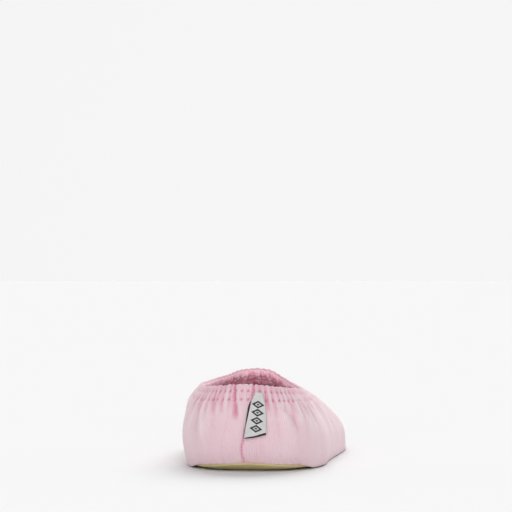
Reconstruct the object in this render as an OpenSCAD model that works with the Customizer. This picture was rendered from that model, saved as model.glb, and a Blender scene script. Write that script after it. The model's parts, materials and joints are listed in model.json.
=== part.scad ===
// Child's soft ballet slipper for the right foot: a cotton upper with an elasticated collar,
// a suede full sole, an inner sock and a folded label in the centre-back seam.
// +Y points to the toe, +X to the outer side of the foot, +Z up. The sole rests on z = 0.

/* [Size] */
// Length from heel to toe
slipper_len = 203; // [180:1:240]
// Greatest width, across the ball of the foot
slipper_w = 79; // [70:1:95]
// Height of the throat, the highest point of the collar
throat_h = 42; // [37:1:50]

/* [Cloth] */
// Thickness of the cotton upper
upper_t = 0.9; // [0.6:0.1:1.2]
// Thickness of the lining
lining_t = 0.6; // [0.4:0.1:0.8]
// Thickness of the facing tape behind the collar
facing_t = 0.6; // [0.4:0.1:0.8]
// Air between two layers of cloth
layer_gap = 0.1; // [0.1:0.05:0.2]

/* [Collar] */
// Depth of the collar band, from its top edge down
collar_h = 8; // [7:0.5:10]
// Depth of the upper row of collar stitches below the edge
upper_row_d = 3; // [2:0.5:3]
// Depth of the lower row of collar stitches below the edge
lower_row_d = 7; // [6.5:0.5:7]
// Width of the elastic that runs between the two rows
elastic_w = 3; // [2:0.5:3]
// Thickness of the elastic
elastic_t = 1.2; // [0.8:0.1:1.4]

/* [Sole] */
// Thickness of the suede sole
sole_t = 1.6; // [1.2:0.1:2]
// Thickness of the foam under the foot
foam_t = 2; // [1:0.5:3]
// Thickness of the cotton sock over the foam
sock_t = 0.6; // [0.4:0.1:1]

/* [Stitching] */
// Length of one stitch
stitch_len = 2.2; // [1.6:0.1:2.4]
// Cloth between one stitch and the next
stitch_gap = 0.8; // [0.6:0.1:1.2]
// Thickness of the thread
thread_t = 0.4; // [0.3:0.05:0.5]

/* [Label] */
// Length of the label along the back seam
label_h = 20; // [14:1:22]
// Width of the label at its open lower end
label_w = 10; // [8:0.5:11]
// Width of the label at its upper end
label_top_w = 3.5; // [2.5:0.5:5]
// Thickness of one leaf of the folded label
leaf_t = 0.3; // [0.2:0.1:0.4]

/* [Hidden] */

// The upper is a surface between two closed curves, the sole seam and the collar edge.
// Sixteen stations give it, from the heel's back round the outer side to the toe and home:
// [seam x, y, z, collar x, y, z, bulge out and up at the seam, bulge out and down at the collar]
STATIONS = [
    [  0, -96, 4,     0, -96, 40.2,  6,  9,  4, 14],
    [ 20, -89, 2.6,  15, -89, 38.6,  6, 10,  6, 12],
    [ 31, -66, 2,    21, -70, 37,    7, 11,  7, 10],
    [ 33, -30, 2,    21, -43, 35.5,  7, 12,  7,  9],
    [ 36,   4, 2,    20, -18, 34.5,  6, 13,  9,  9],
    [ 38,  37, 2,    16,   2, 35,    5, 14, 12,  9],
    [ 33,  72, 2,     9,  14, 38,    5, 13, 16, 12],
    [ 16,  95, 2.4,   2,  19, 41,    6, 14, 20, 16],
    [ -5, 101, 2.6,  -5,  20, 42,    6, 14, 22, 17],
    [-22,  90, 2.4, -13,  18, 41.5,  6, 13, 20, 15],
    [-35,  62, 2,   -20,   9, 40,    6, 12, 15, 11],
    [-37,  32, 2,   -25,  -5, 38.6,  7, 11, 10,  9],
    [-33,  -3, 2,   -27, -23, 38.2,  8, 11,  9,  9],
    [-31, -33, 2,   -27, -46, 38.4,  9, 12,  8, 10],
    [-30, -64, 2,   -23, -70, 38,    9, 11,  7, 10],
    [-20, -89, 2.6, -15, -89, 39.2,  6, 10,  6, 12]
];
STATION_COUNT = len(STATIONS);

// The stations are drawn for a slipper of this length, width and throat height
DRAWN_SIZE = [79, 203, 42];
SIZE_RATIO = [slipper_w / DRAWN_SIZE.x, slipper_len / DRAWN_SIZE.y, throat_h / DRAWN_SIZE.z];

// Columns of facets round the slipper, rows up the wall and rows up the collar band
COLUMNS = 72;
WALL_ROWS = 10;
COLLAR_ROWS = 3;
// Half of the step used to measure a slope of the surface
SLOPE_STEP = 0.002;

// How far inside the outer face each layer of cloth starts and ends
UPPER_LAYER = [0, upper_t];
LINING_LAYER = [upper_t + layer_gap, upper_t + layer_gap + lining_t];
ELASTIC_LAYER = [upper_t + layer_gap, upper_t + layer_gap + elastic_t];
FACING_LAYER = [ELASTIC_LAYER[1] + layer_gap, ELASTIC_LAYER[1] + layer_gap + facing_t];
TAPE_LAYER = [LINING_LAYER[1] + layer_gap, LINING_LAYER[1] + layer_gap + 0.4];

// Height up the wall is 0 at the sole seam, 1 at the foot of the collar band, 2 at its edge
LINING_FOOT = 0.02;
LINING_TOP = 0.96;
FACING_FOOT = 0.9;
// The facing turns over the elastic this far below the edge
FACING_ROLL = 0.6;

// Sole: the strip in which its edge curls up, the round on its edge and what the floor takes off
CURL_RUN = 14;
EDGE_ROUND = 0.5;
FLAT_CUT = 0.3;
// How far the sole reaches out beyond the seam, under the swell of the upper
SOLE_LIP = 0.8;
// The inner sock and foam stop this far inside the seam
INSOLE_MARGIN = 2.4;

// Back seam: how far it stands beside the centre line at the sole and at the collar
SEAM_FOOT_X = -2.6;
SEAM_TOP_X = 2.4;
// Turn round the slipper, as a part of the whole, for a millimetre at the heel
TURN_PER_MM = 0.0031 * DRAWN_SIZE.x / slipper_w;
// The row that holds the seam allowance flat runs this far to the inner side
ALLOWANCE_OFFSET = 7.5;

// Label: its top end below the collar edge, its clearance and how far it stands off the heel
LABEL_DROP = 3.6;
LABEL_PROUD = 2.1;
LABEL_LEAN = 2.5;
LEAF_GAP = 0.5;
// Height up the wall of the lower end of the stretch it is sewn into
LABEL_FOOT = 0.55;

// ---- the surface of the upper ----

// A smooth curve through four values, at part f of the way from the second to the third
function spline(a, b, c, d, f) =
    0.5 * (2 * b + f * (c - a) + f * f * (2 * a - 5 * b + 4 * c - d)
        + f * f * f * (3 * b - a - 3 * c + d));

function wrapped(i) = STATIONS[(i + STATION_COUNT) % STATION_COUNT];

// The station at part u of the way round
function station(u) =
    let (place = (u - floor(u)) * STATION_COUNT, i = floor(place))
    spline(wrapped(i - 1), wrapped(i), wrapped(i + 1), wrapped(i + 2), place - i);

function seam_of(s) = [s[0], s[1], s[2]];
function collar_of(s) = [s[3], s[4], s[5]];
// Level direction that points out of a curve whose slope is given
function outward(slope) = let (n = norm([slope.x, slope.y])) [slope.y / n, -slope.x / n, 0];

// The outer surface: u is the part of the way round, v runs from the seam to the collar edge
function outer_point(u, v) =
    let (
        s = station(u),
        slope = station(u + SLOPE_STEP) - station(u - SLOPE_STEP),
        low = seam_of(s),
        high = collar_of(s),
        low_pull = low + outward(seam_of(slope)) * s[6] + [0, 0, s[7]],
        high_pull = high + outward(collar_of(slope)) * s[8] - [0, 0, s[9]],
        w = 1 - v,
        p = w * w * w * low + 3 * w * w * v * low_pull + 3 * w * v * v * high_pull + v * v * v * high
    )
    [p.x * SIZE_RATIO.x, p.y * SIZE_RATIO.y, p.z * SIZE_RATIO.z];

// Direction that points into the slipper from the outer surface
function inward(u, v) =
    let (
        along = outer_point(u + SLOPE_STEP, v) - outer_point(u - SLOPE_STEP, v),
        up = outer_point(u, min(v + SLOPE_STEP, 1)) - outer_point(u, max(v - SLOPE_STEP, 0)),
        n = cross(up, along)
    )
    n / norm(n);

// The v that lies the given distance below the collar edge
function v_below_edge(u, drop) =
    let (
        edge = outer_point(u, 1),
        guess = drop / norm(edge - outer_point(u, 0.98)) * 0.02,
        reached = norm(edge - outer_point(u, 1 - guess))
    )
    1 - guess * drop / reached;

// The v at a height up the wall, where the collar band starts at the v given as band_v
function v_at(height, band_v) =
    height <= 1 ? height * band_v : band_v + (height - 1) * (1 - band_v);

// A point of a layer: part u round, height up the wall, depth inside the outer face
function cloth_point(u, height, depth) =
    let (v = v_at(height, v_below_edge(u, collar_h)))
    outer_point(u, v) + inward(u, v) * depth;

// The height up the wall that lies a distance below the collar edge
function height_below_edge(drop) = 2 - drop / collar_h;

// Where the back seam runs, and lines beside it
function seam_turn(height, beside = 0) =
    (SEAM_FOOT_X + (SEAM_TOP_X - SEAM_FOOT_X) * height / 2 + beside) * TURN_PER_MM;

// ---- solids made of rings of points ----

// A closed tube whose every ring has the same number of points
module swept_loop(rings) {
    count = len(rings);
    sides = len(rings[0]);
    faces = [
        for (i = [0:count - 1], j = [0:sides - 1])
            let (
                a = i * sides + j,
                b = i * sides + (j + 1) % sides,
                c = ((i + 1) % count) * sides + (j + 1) % sides,
                d = ((i + 1) % count) * sides + j
            )
            each [[a, b, c], [a, c, d]]
    ];
    polyhedron(points = [for (ring = rings) each ring], faces = faces, convexity = 6);
}

// A strip of a tube, closed at both ends, whose rings have four points each
module swept_strip(rings) {
    count = len(rings);
    sides = [
        for (i = [0:count - 2], j = [0:3])
            let (a = i * 4 + j, b = i * 4 + (j + 1) % 4)
            each [[a, b, b + 4], [a, b + 4, a + 4]]
    ];
    last = (count - 1) * 4;
    ends = [[0, 3, 2], [0, 2, 1], [last, last + 1, last + 2], [last, last + 2, last + 3]];
    polyhedron(points = [for (ring = rings) each ring], faces = concat(sides, ends), convexity = 4);
}

// A layer of cloth that goes all the way round. profile lists [height, depth] anticlockwise.
module cloth_loop(profile) {
    swept_loop([
        for (i = [0:COLUMNS - 1])
            let (u = i / COLUMNS, band_v = v_below_edge(u, collar_h))
            [
                for (p = profile)
                    let (v = v_at(p[0], band_v))
                    outer_point(u, v) + inward(u, v) * p[1]
            ]
    ]);
}

// Rows of heights from one height to another
function rows(from, to, count) = [for (i = [0:count]) from + (to - from) * i / count];

// Profile of a plain layer between two heights
function layer_profile(heights, layer) = concat(
    [for (h = heights) [h, layer[0]]],
    [for (i = [len(heights) - 1:-1:0]) [heights[i], layer[1]]]
);

// Outline of the sole at a distance inside the seam, with the curl of its edge
function sole_point(u, margin, level) =
    let (
        s = station(u),
        slope = station(u + SLOPE_STEP) - station(u - SLOPE_STEP),
        p = seam_of(s) - outward(seam_of(slope)) * margin,
        rise = max(0, s[2] - sole_t + FLAT_CUT - layer_gap),
        run = max(0, 1 - max(0, margin) / CURL_RUN)
    )
    [p.x * SIZE_RATIO.x, p.y * SIZE_RATIO.y, level + rise * run * run];

// A plate that follows the sole. rim lists [margin, level] from the top's middle to the bottom's.
module sole_plate(rim) {
    levels = len(rim);
    walls = [
        for (j = [0:levels - 2], i = [0:COLUMNS - 1])
            let (
                a = j * COLUMNS + i,
                b = j * COLUMNS + (i + 1) % COLUMNS,
                c = b + COLUMNS,
                d = a + COLUMNS
            )
            each [[a, b, c], [a, c, d]]
    ];
    base = (levels - 1) * COLUMNS;
    half = COLUMNS / 2;
    // Both caps are ladders of facets from the outer side to the inner side
    top = [
        for (i = [0:half - 1])
            let (a = i, b = i + 1, c = COLUMNS - i - 1, d = (COLUMNS - i) % COLUMNS)
            each [if (b != c) [a, c, b], if (a != d) [a, d, c]]
    ];
    bottom = [for (f = top) [base + f[0], base + f[2], base + f[1]]];
    polyhedron(
        points = [for (r = rim, i = [0:COLUMNS - 1]) sole_point(i / COLUMNS, r[0], r[1])],
        faces = concat(walls, top, bottom),
        convexity = 4
    );
}

// One thread laid from a to b
module thread(a, b, width = thread_t, height = thread_t) {
    line = b - a;
    level = norm([line.x, line.y]);
    translate((a + b) / 2)
        rotate([0, -atan2(line.z, level), atan2(line.y, line.x)])
            cube([norm(line), width, height], center = true);
}

// A row of stitches round the collar, seen outside and inside
module collar_row(drop) {
    height = height_below_edge(drop);
    pitch = stitch_len + stitch_gap;
    count = round(loop_length(height) / pitch);
    half_step = stitch_len / pitch / count / 2;
    for (i = [0:count - 1], depth = [0, FACING_LAYER[1]])
        let (u = i / count)
            thread(cloth_point(u - half_step, height, depth), cloth_point(u + half_step, height, depth));
}

// Length round the slipper at a height up the wall
function loop_length(height) =
    let (points = [for (i = [0:COLUMNS]) cloth_point(i / COLUMNS, height, 0)])
    sum([for (i = [0:COLUMNS - 1]) norm(points[i + 1] - points[i])]);

function sum(values, i = 0) = i < len(values) ? values[i] + sum(values, i + 1) : 0;

// A row of stitches up the back of the heel, beside the seam by the given distance
module heel_row(beside, low, high, count) {
    step = (high - low) / count;
    for (i = [0:count - 1])
        let (h = low + step * (i + 0.5), up = step * 0.33)
            thread(
                cloth_point(seam_turn(h - up, beside), h - up, 0),
                cloth_point(seam_turn(h + up, beside), h + up, 0)
            );
}

// ---- the pieces ----

module upper() {
    heights = concat(rows(0, 1, WALL_ROWS), rows(1 + 1 / COLLAR_ROWS, 2, COLLAR_ROWS - 1));
    color("#e3c1cc") cloth_loop(layer_profile(heights, UPPER_LAYER));
}

module upper_lining() {
    color("#d493a6") cloth_loop(layer_profile(rows(LINING_FOOT, LINING_TOP, WALL_ROWS), LINING_LAYER));
}

// An inner tape whose top is turned over the elastic to meet the upper at the collar edge
module topline_facing() {
    roll = height_below_edge(FACING_ROLL);
    wall = rows(roll, FACING_FOOT, 4);
    color("#d98ba3") cloth_loop(concat(
        [[2, LINING_LAYER[0]], [2, FACING_LAYER[1]]],
        [for (i = [0:4]) [wall[i], FACING_LAYER[1]]],
        [for (i = [4:-1:0]) [wall[i], FACING_LAYER[0]]],
        [[roll, LINING_LAYER[0]]]
    ));
}

module elastic_band() {
    middle = (upper_row_d + lower_row_d) / 2;
    foot = height_below_edge(middle + elastic_w / 2);
    top = height_below_edge(middle - elastic_w / 2);
    color("#f4ece6") cloth_loop(layer_profile([foot, top], ELASTIC_LAYER));
}

// Bar tacks that close the elastic into a loop, beside the heel on the inner side
module elastic_join() {
    middle = height_below_edge((upper_row_d + lower_row_d) / 2);
    reach = elastic_w * 0.35 / collar_h;
    color("#f7f2ec")
        for (i = [0:3])
            let (u = 0.93 + i * 0.003, depth = (ELASTIC_LAYER[0] + ELASTIC_LAYER[1]) / 2)
                thread(
                    cloth_point(u, middle - reach, depth),
                    cloth_point(u, middle + reach, depth),
                    width = 0.3, height = elastic_t * 0.6
                );
}

module outsole() {
    color("#a89a68") difference() {
        sole_plate([
            [CURL_RUN, sole_t - FLAT_CUT], [8, sole_t - FLAT_CUT], [4, sole_t - FLAT_CUT],
            [0, sole_t - FLAT_CUT], [-SOLE_LIP, sole_t - FLAT_CUT - EDGE_ROUND / 2],
            [-SOLE_LIP, EDGE_ROUND - FLAT_CUT], [0, EDGE_ROUND / 4 - FLAT_CUT], [4, -FLAT_CUT],
            [8, -FLAT_CUT], [CURL_RUN, -FLAT_CUT]
        ]);
        // The floor side is one true plane
        translate([-slipper_w, -slipper_len, -5]) cube([slipper_w * 2, slipper_len * 2, 5]);
    }
}

module insole_layer(base, thickness) {
    sole_plate([
        [CURL_RUN, base + thickness], [8, base + thickness], [INSOLE_MARGIN, base + thickness],
        [INSOLE_MARGIN, base], [8, base], [CURL_RUN, base]
    ]);
}

module insole_foam() {
    color("#efe6d8") insole_layer(sole_t - FLAT_CUT + layer_gap, foam_t);
}

module insole_sock() {
    color("#dba7b4") insole_layer(sole_t - FLAT_CUT + foam_t + layer_gap * 2, sock_t);
}

// Tape that covers the raw edges of the centre-back seam inside the heel
module heel_seam_tape() {
    half_w = 4;
    heights = rows(0.2, 0.86, 8);
    color("#e9d3d9") swept_strip([
        for (h = heights) [
            cloth_point(seam_turn(h, -half_w), h, TAPE_LAYER[0]),
            cloth_point(seam_turn(h, -half_w), h, TAPE_LAYER[1]),
            cloth_point(seam_turn(h, half_w), h, TAPE_LAYER[1]),
            cloth_point(seam_turn(h, half_w), h, TAPE_LAYER[0])
        ]
    ]);
}

module topline_stitch_upper() {
    color("#e7ccd5") collar_row(upper_row_d);
}

module topline_stitch_lower() {
    color("#e7ccd5") collar_row(lower_row_d);
}

module back_seam_stitch() {
    color("#d6aebb") heel_row(0, 0.05, 0.4, 7);
}

module allowance_stitch() {
    color("#d6aebb") heel_row(-ALLOWANCE_OFFSET, 0.05, 0.96, 20);
}

// Thread that joins the edges of the upper and the lining to the rim of the sole
module sole_seam_stitch() {
    count = 120;
    margin = -0.3;
    level = sole_t - FLAT_CUT + 0.4;
    color("#d9c9a8")
        for (i = [0:count - 1])
            let (u = i / count, turn = 0.3 / count)
                thread(sole_point(u - turn, margin, level), sole_point(u + turn, margin, level), height = 2.2);
}

// The label is sewn into a straight stretch of the back seam, and swings about that line
module label() {
    top_height = height_below_edge(LABEL_DROP);
    top = cloth_point(seam_turn(top_height), top_height, -LABEL_PROUD);
    foot = cloth_point(seam_turn(LABEL_FOOT), LABEL_FOOT, -LABEL_PROUD);
    line = (top - foot) / norm(top - foot);
    thickness = 2 * leaf_t + LEAF_GAP;
    color("#f4f4f4")
        translate(top)
            rotate([asin(-line.y), atan2(line.x, line.z), 0])
                rotate([90, 0, LABEL_LEAN])
                    translate([0, 0, -thickness / 2])
                        difference() {
                            linear_extrude(thickness)
                                polygon([[0, 0], [label_top_w, 0], [label_w, -label_h], [0, -label_h]]);
                            // The two leaves stay joined along the fold and stand apart inside
                            translate([0, 0, leaf_t]) linear_extrude(LEAF_GAP)
                                polygon([
                                    [leaf_t, -leaf_t], [label_top_w - leaf_t, -leaf_t],
                                    [label_w - leaf_t, -label_h - 1], [leaf_t, -label_h - 1]
                                ]);
                        }
}

upper();
upper_lining();
topline_facing();
elastic_band();
elastic_join();
outsole();
insole_foam();
insole_sock();
heel_seam_tape();
topline_stitch_upper();
topline_stitch_lower();
back_seam_stitch();
allowance_stitch();
sole_seam_stitch();
label();
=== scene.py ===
"""A child's soft ballet slipper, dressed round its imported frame.

The cotton upper is drawn in by an elastic that runs between two rows of stitches under the collar's
edge. Inside are a gathered facing tape, a lining and a padded sock; underneath is a suede sole.
Lengths are metres in the frame's axes: +Y to the toe, +X to the outer side, +Z up. Cloth measures
are in millimetres until a mesh is written, because that is how a slipper maker thinks of them.
"""
import json
import math
import random

import bmesh
import bpy
import numpy as np
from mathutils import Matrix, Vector, noise


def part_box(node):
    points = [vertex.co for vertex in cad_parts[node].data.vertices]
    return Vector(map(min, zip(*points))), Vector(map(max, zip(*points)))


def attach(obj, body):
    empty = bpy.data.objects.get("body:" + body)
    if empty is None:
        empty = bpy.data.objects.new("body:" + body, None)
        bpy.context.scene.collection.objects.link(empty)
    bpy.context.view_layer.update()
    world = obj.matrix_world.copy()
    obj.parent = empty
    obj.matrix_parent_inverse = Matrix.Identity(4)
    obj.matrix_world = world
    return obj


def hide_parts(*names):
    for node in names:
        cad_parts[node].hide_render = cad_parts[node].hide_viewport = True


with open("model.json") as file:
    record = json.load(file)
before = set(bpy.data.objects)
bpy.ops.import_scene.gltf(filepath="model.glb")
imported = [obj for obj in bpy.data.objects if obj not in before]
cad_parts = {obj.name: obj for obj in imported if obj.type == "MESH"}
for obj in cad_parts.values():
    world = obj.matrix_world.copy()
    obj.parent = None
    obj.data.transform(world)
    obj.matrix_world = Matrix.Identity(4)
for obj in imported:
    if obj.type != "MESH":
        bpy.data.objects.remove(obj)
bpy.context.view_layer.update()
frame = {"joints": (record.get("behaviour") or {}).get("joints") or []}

MM = 0.001

# ------------ camera
# A place halfway up the back of the heel
HEEL_BACK = Vector((0.0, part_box("upper")[0].y + 0.001, 0.020))
CAMERA_DISTANCE = 1.0
CAMERA_TURN = math.radians(5.0)
CAMERA_RISE = math.radians(4.0)
LENS = 152.6
SENSOR_WIDTH = 36.0
# The camera looks past the heel, at a point above it and a little to its outer side
AIM_OFFSET = Vector((0.0037, 0.0, 0.0794))


def make_camera():
    """Looks at the heel from behind and a little above, through a long lens."""
    toward_camera = Vector((
        math.sin(CAMERA_TURN) * math.cos(CAMERA_RISE),
        -math.cos(CAMERA_TURN) * math.cos(CAMERA_RISE),
        math.sin(CAMERA_RISE),
    ))
    data = bpy.data.cameras.new("camera")
    data.lens = LENS
    data.sensor_width = SENSOR_WIDTH
    data.clip_start = 0.01
    data.clip_end = 50.0
    camera = bpy.data.objects.new("camera", data)
    camera.location = HEEL_BACK + toward_camera * CAMERA_DISTANCE
    look = HEEL_BACK + AIM_OFFSET - camera.location
    camera.rotation_euler = look.to_track_quat("-Z", "Y").to_euler()
    bpy.context.scene.collection.objects.link(camera)
    bpy.context.scene.camera = camera


make_camera()

# ------------ the slipper's surface
# The upper is a surface between the sole seam and the collar's edge, given by sixteen stations from
# the heel's back round the outer side to the toe and home, in millimetres:
# seam x, y, z, collar x, y, z, bulge out and up at the seam, bulge out and down at the collar
STATIONS = np.array([
    [  0, -96, 4,     0, -96, 40.2,  6,  9,  4, 14],
    [ 20, -89, 2.6,  15, -89, 38.6,  6, 10,  6, 12],
    [ 31, -66, 2,    21, -70, 37,    7, 11,  7, 10],
    [ 33, -30, 2,    21, -43, 35.5,  7, 12,  7,  9],
    [ 36,   4, 2,    20, -18, 34.5,  6, 13,  9,  9],
    [ 38,  37, 2,    16,   2, 35,    5, 14, 12,  9],
    [ 33,  72, 2,     9,  14, 38,    5, 13, 16, 12],
    [ 16,  95, 2.4,   2,  19, 41.8,  6, 14, 20, 16],
    [ -5, 101, 2.6,  -5,  20, 42.9,  6, 14, 22, 17],
    [-22,  90, 2.4, -13,  18, 42.3,  6, 13, 20, 15],
    [-35,  62, 2,   -20,   9, 40,    6, 12, 15, 11],
    [-37,  32, 2,   -25,  -5, 38.6,  7, 11, 10,  9],
    [-33,  -3, 2,   -27, -23, 38.2,  8, 11,  9,  9],
    [-31, -33, 2,   -27, -46, 38.4,  9, 12,  8, 10],
    [-30, -64, 2,   -23, -70, 38,    9, 11,  7, 10],
    [-20, -89, 2.6, -15, -89, 39.2,  6, 10,  6, 12],
], float)
SLOPE_STEP = 0.002


def stations_at(turn):
    """The station values at each part turn of the way round, on a smooth closed curve."""
    count = len(STATIONS)
    place = np.mod(turn, 1.0) * count
    i = np.floor(place).astype(int)
    f = (place - i)[..., None]
    a, b, c, d = (STATIONS[(i + k) % count] for k in (-1, 0, 1, 2))
    return 0.5 * (2 * b + (c - a) * f + (2 * a - 5 * b + 4 * c - d) * f**2
                  + (3 * b - a - 3 * c + d) * f**3)


def unit(vectors):
    return vectors / np.linalg.norm(vectors, axis=-1, keepdims=True)


def level_normal(slope):
    """Level unit vectors that point out of a curve with the given slopes."""
    return unit(np.stack([slope[..., 1], -slope[..., 0], np.zeros_like(slope[..., 0])], -1))


def wall_point(turn, rise):
    """Points of the outer surface: rise runs from 0 at the seam to 1 at the collar's edge."""
    turn, rise = np.broadcast_arrays(np.asarray(turn, float), np.asarray(rise, float))
    s = stations_at(turn)
    slope = stations_at(turn + SLOPE_STEP) - stations_at(turn - SLOPE_STEP)
    up = np.array([0.0, 0.0, 1.0])
    seam, collar = s[..., 0:3], s[..., 3:6]
    seam_pull = seam + level_normal(slope[..., 0:2]) * s[..., 6:7] + up * s[..., 7:8]
    collar_pull = collar + level_normal(slope[..., 3:5]) * s[..., 8:9] - up * s[..., 9:10]
    v = rise[..., None]
    w = 1 - v
    return w**3 * seam + 3 * w * w * v * seam_pull + 3 * w * v * v * collar_pull + v**3 * collar


def wall_axes(turn, rise):
    """Unit vectors along the cloth, up it and out of it, at points of the outer surface."""
    along = wall_point(turn + SLOPE_STEP, rise) - wall_point(turn - SLOPE_STEP, rise)
    up = (wall_point(turn, np.minimum(rise + SLOPE_STEP, 1))
          - wall_point(turn, np.maximum(rise - SLOPE_STEP, 0)))
    out = unit(np.cross(along, up))
    along = unit(along)
    return along, np.cross(out, along), out


class Wall:
    """Lengths measured once on the surface: round the collar, and down each column from its edge."""

    def __init__(self, turns=1440, steps=120):
        self.turns = np.linspace(0, 1, turns + 1)
        self.rises = np.linspace(1, 0, steps + 1)
        grid = wall_point(self.turns[:, None], self.rises[None, :])
        down = np.linalg.norm(np.diff(grid, axis=1), axis=-1)
        self.drops = np.concatenate([np.zeros((turns + 1, 1)), np.cumsum(down, axis=1)], axis=1)
        self.edge = self._round(grid[:, 0])
        self.belly = self._round(grid[:, steps // 2])
        self.edge_length = self.edge[-1]
        self.belly_length = self.belly[-1]
        outer = self.turns <= 0.5
        self.outer_side = (grid[outer, steps // 2, 1], self.belly[outer])

    @staticmethod
    def _round(loop):
        return np.concatenate([[0], np.cumsum(np.linalg.norm(np.diff(loop, axis=0), axis=-1))])

    def turn_at(self, along):
        """The turn at a length along the collar's edge, counted from the heel's back."""
        return np.interp(along, self.edge, self.turns)

    def belly_at(self, y):
        """Length round the belly from the heel's back to a place along the outer side."""
        return float(np.interp(y, *self.outer_side))

    def full_drop(self, turn):
        """Length of the cloth from the collar's edge to the seam."""
        return np.interp(turn, self.turns, self.drops[:, -1])

    def rise_at(self, turns, drops):
        """The rise that lies drops[i] below the edge on each of the columns turns[i]."""
        near = np.rint(turns * (len(self.turns) - 1)).astype(int)
        return np.array([np.interp(d, self.drops[k], self.rises) for d, k in zip(drops, near)])


wall = Wall()
# Length of the cloth down the back of the heel
HEEL_DROP = float(wall.full_drop(0.0))

# ------------ gathers and folds
# The back seam stands this far beside the heel's middle at the collar and at the sole
SEAM_TOP = 2.4
SEAM_FOOT = -3.4
# Past this part of its way down it bends back a little
SEAM_BEND_START = 0.78
SEAM_BEND = 1.6
# The seam allowance lies to the inner side of the seam, sewn flat
ALLOWANCE = 7.5
# Drops of the two rows of stitches that hold the elastic
ROWS = (3.0, 7.0)
STITCH_PITCH = 2.7
# Thickness of each cloth
CANVAS = 0.6
INNER_COTTON = 0.4
SOCK_COTTON = 0.6
ELASTIC = 0.6
TAPE = 0.35
RIBBON = 0.16
# The collar's edge rolls over to the inside on this radius
ROLL = 0.75
# The front of the opening: its half width and its fade, as parts of the collar's length, and how
# much further down the gathers run there
THROAT = 0.06
THROAT_FADE = 0.16
THROAT_REACH = 1.1

# Folds near the heel, listed one by one: places along the collar and drops below its edge at the two
# ends, the half width and the depth of each valley. Lengths on the inner side are negative
VALLEYS = [
    ((-6.6, -1.0), (-5.4, 10.0), 0.6, 1.5),
    ((-5.3, 8.0), (-4.5, 16.5), 1.0, 1.45),
    ((7.6, 3.0), (8.2, 13.0), 0.8, 1.0),
    ((15.5, 8.0), (15.3, 13.5), 1.4, 0.9),
    ((15.6, 11.0), (20.0, 21.0), 1.5, 0.8),
    ((25.6, 5.5), (27.4, 17.5), 0.9, 1.5),
    ((31.5, 6.0), (34.0, 20.0), 1.4, 0.8),
    ((-11.4, 6.0), (-10.6, 14.0), 0.8, 0.7),
    ((-16.0, 2.0), (-15.2, 14.0), 0.8, 0.9),
    ((-19.0, 7.0), (-18.6, 17.0), 0.8, 0.7),
    ((-24.0, 6.0), (-22.0, 24.0), 1.3, 0.8),
    ((-33.0, 5.0), (-38.0, 22.0), 1.6, 0.8),
]
# Long soft ridges that fan out below the collar, given in the same way
RIDGES = [
    ((-20.9, 6.0), (-17.6, 27.0), 1.1, 0.9),
    ((-28.0, 4.0), (-30.5, 24.0), 1.5, 0.9),
    ((-13.4, 4.0), (-12.4, 15.0), 0.8, 0.6),
    ((21.6, 4.0), (21.2, 19.0), 1.1, 0.8),
    ((11.6, 4.0), (12.0, 12.0), 1.0, 0.5),
    ((29.5, 5.0), (32.5, 19.0), 1.1, 0.8),
]


def smooth(t):
    t = np.clip(t, 0.0, 1.0)
    return t * t * (3 - 2 * t)


def bell(distance, width):
    """1 at no distance, falling off smoothly over the width."""
    return np.exp(-((distance / width) ** 2))


def at_throat(along):
    """1 at the front of the opening, falling to 0 before the middle of its sides."""
    from_front = np.abs(np.mod(along, wall.edge_length) / wall.edge_length - 0.5)
    return 1 - smooth((from_front - THROAT) / THROAT_FADE)


class Gathers:
    """Cells of cloth round the collar, held at their marks and standing out between them."""

    def __init__(self, pitch, spread, height, reach, seed):
        rand = random.Random(seed)
        count = round(wall.edge_length / pitch)
        widths = np.array([rand.uniform(1 - spread, 1 + spread) for _ in range(count)])
        self.marks = np.concatenate([[0], np.cumsum(widths)]) * wall.edge_length / widths.sum()
        self.height = np.array([rand.uniform(*height) for _ in range(count)])
        self.reach = np.array([rand.uniform(*reach) for _ in range(count)])

    def cells(self, along):
        """The cell and the part of its width, for each length along the collar."""
        along = np.mod(along, wall.edge_length)
        k = np.clip(np.searchsorted(self.marks, along, side="right") - 1, 0, len(self.height) - 1)
        return k, (along - self.marks[k]) / (self.marks[k + 1] - self.marks[k])

    def lift(self, along, drop, start, full):
        """The height of the cells at each point, swelling between two drops and then dying away."""
        k, part = self.cells(along)
        crest = np.sin(np.pi * part) ** 0.9
        reach = self.reach[k] * (1 + THROAT_REACH * at_throat(along))
        fade = np.exp(-(np.maximum(drop - full, 0) / reach) ** 1.4)
        return self.height[k] * crest * smooth((drop - start) / (full - start)) * fade

    def nearest_mark(self, along):
        """Distance along the collar to the nearest mark."""
        k, part = self.cells(along)
        width = self.marks[k + 1] - self.marks[k]
        return width * np.minimum(part, 1 - part)


fine_gathers = Gathers(STITCH_PITCH, 0.18, height=(0.5, 1.0), reach=(3.0, 9.0), seed=3)
middle_gathers = Gathers(5.6, 0.35, height=(0.2, 1.1), reach=(5.0, 15.0), seed=11)
broad_gathers = Gathers(13.0, 0.3, height=(0.2, 1.1), reach=(12.0, 26.0), seed=19)


def noise_field(points, scale, seed):
    """Smooth noise from -1 to 1 at points in millimetres."""
    shift = Vector((seed * 17.3, seed * 5.1, seed * 9.7))
    flat = points.reshape(-1, 3) / scale
    return np.array([noise.noise(Vector(p) + shift) for p in flat]).reshape(points.shape[:-1])


def from_heel(along):
    """Lengths along the collar, negative on the inner side of the heel's middle."""
    return np.where(along > wall.edge_length / 2, along - wall.edge_length, along)


# A fold fades over these parts of its length from its two ends, and starts and stops a little blunt
FOLD_FADES = (0.35, 0.6)
FOLD_BLUNTNESS = 0.22
# It widens on its way down, and the cloth beside it stands up in a shoulder: half widths
FOLD_NARROW = 0.75
FOLD_WIDENS = 0.5
SHOULDER_PLACE = 1.9
SHOULDER_SPREAD = 0.8


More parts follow.
